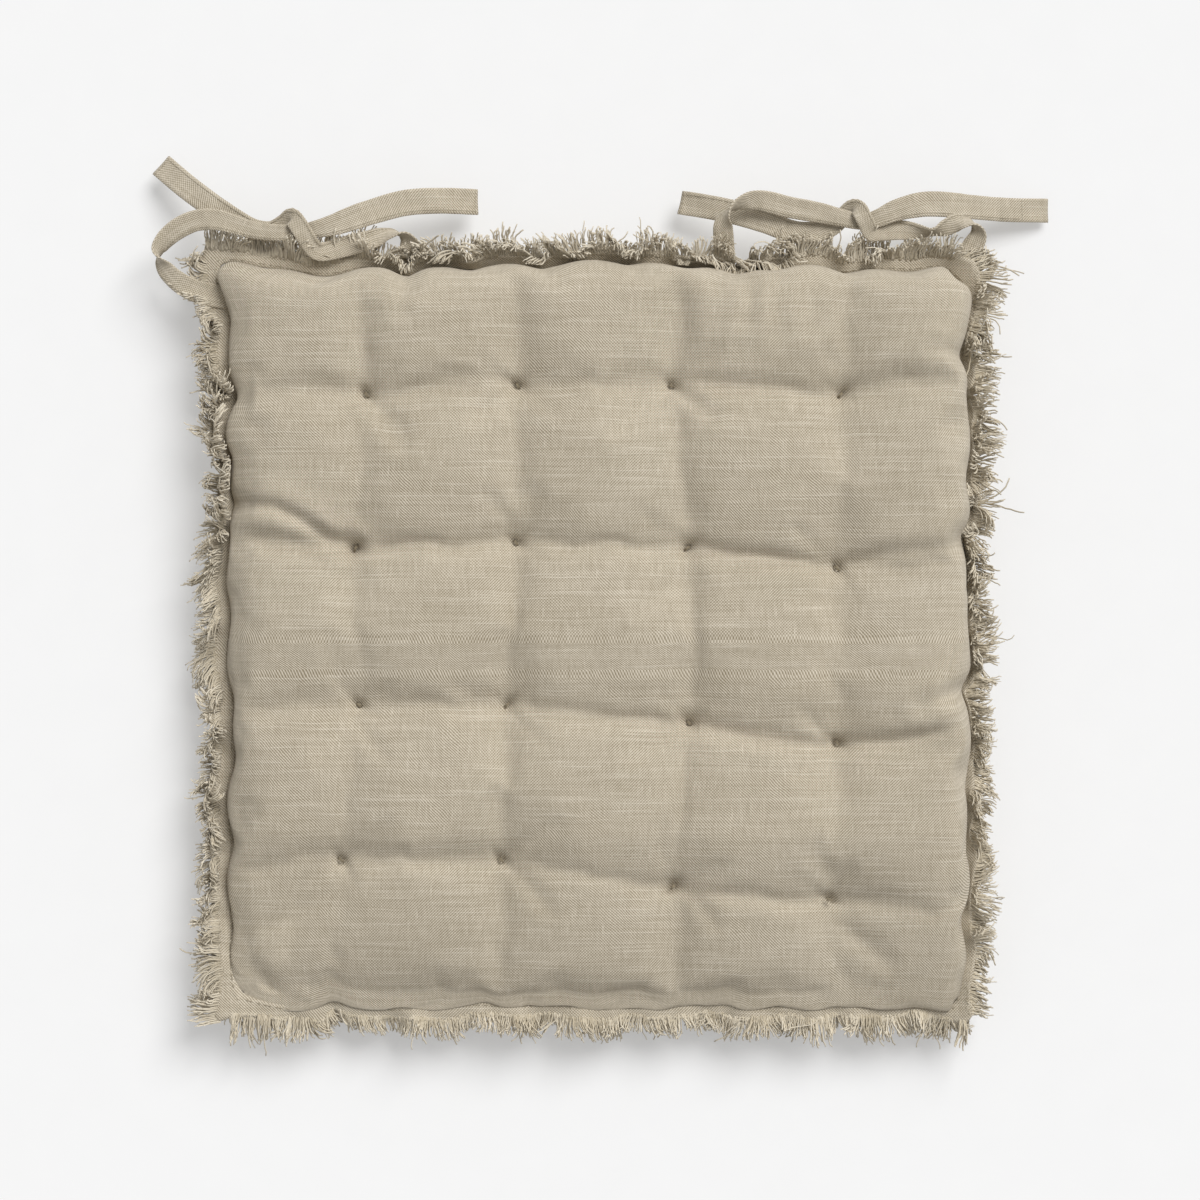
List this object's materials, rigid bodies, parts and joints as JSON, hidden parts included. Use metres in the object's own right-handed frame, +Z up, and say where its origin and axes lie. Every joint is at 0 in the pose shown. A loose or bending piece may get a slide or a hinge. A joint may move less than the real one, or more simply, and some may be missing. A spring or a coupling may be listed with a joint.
{
  "type": "floor cushion",
  "caption": "Square, crowned, tufted floor or seat cushion in beige linen-look cloth with a frayed edge and knotted tie straps at both back corners.",
  "frame": {"origin": "centre of the flat underside of the pad, which rests on the floor or seat", "axes": "+Z up out of the underside, +Y towards the back edge, where the tie straps are, +X to the right seen from above with the back edge away"},
  "size_m": [0.5035, 0.4977, 0.06],
  "materials": {
    "cover_cloth": "matte woven linen look",
    "filling": "soft fibre",
    "sewing_thread": "matte",
    "fringe_yarn": "matte loose yarn",
    "tufting_twine": "matte",
    "tie_cloth": "matte woven linen look"
  },
  "bodies": {
    "cushion": {"top_panel": "cover_cloth", "bottom_panel": "cover_cloth", "filling": "filling", "seam_needle_thread": "sewing_thread", "seam_bobbin_thread": "sewing_thread", "fringe_upper_back": "fringe_yarn", "fringe_upper_left": "fringe_yarn", "fringe_upper_front": "fringe_yarn", "fringe_upper_right": "fringe_yarn", "fringe_lower_back": "fringe_yarn", "fringe_lower_left": "fringe_yarn", "fringe_lower_front": "fringe_yarn", "fringe_lower_right": "fringe_yarn", "tuft_01": "tufting_twine", "tuft_02": "tufting_twine", "tuft_03": "tufting_twine", "tuft_04": "tufting_twine", "tuft_05": "tufting_twine", "tuft_06": "tufting_twine", "tuft_07": "tufting_twine", "tuft_08": "tufting_twine", "tuft_09": "tufting_twine", "tuft_10": "tufting_twine", "tuft_11": "tufting_twine", "tuft_12": "tufting_twine", "tuft_13": "tufting_twine", "tuft_14": "tufting_twine", "tuft_15": "tufting_twine", "tuft_16": "tufting_twine", "tie_left_side_sewn_end": "tie_cloth", "tie_left_back_sewn_end": "tie_cloth", "tie_right_back_sewn_end": "tie_cloth", "tie_right_side_sewn_end": "tie_cloth"},
    "tie_left": {"tie_left_side": "tie_cloth", "tie_left_back": "tie_cloth"},
    "tie_right": {"tie_right_side": "tie_cloth", "tie_right_back": "tie_cloth"}
  },
  "joints": [
    {"name": "tie_left_swing", "type": "hinge", "parent": "cushion", "child": "tie_left", "pos_m": [-0.1755, 0.22, 0.03], "axis": [1, 0, 0], "range_deg": [0, 90]},
    {"name": "tie_right_swing", "type": "hinge", "parent": "cushion", "child": "tie_right", "pos_m": [0.14, 0.22, 0.03], "axis": [1, 0, 0], "range_deg": [0, 90]}
  ]
}
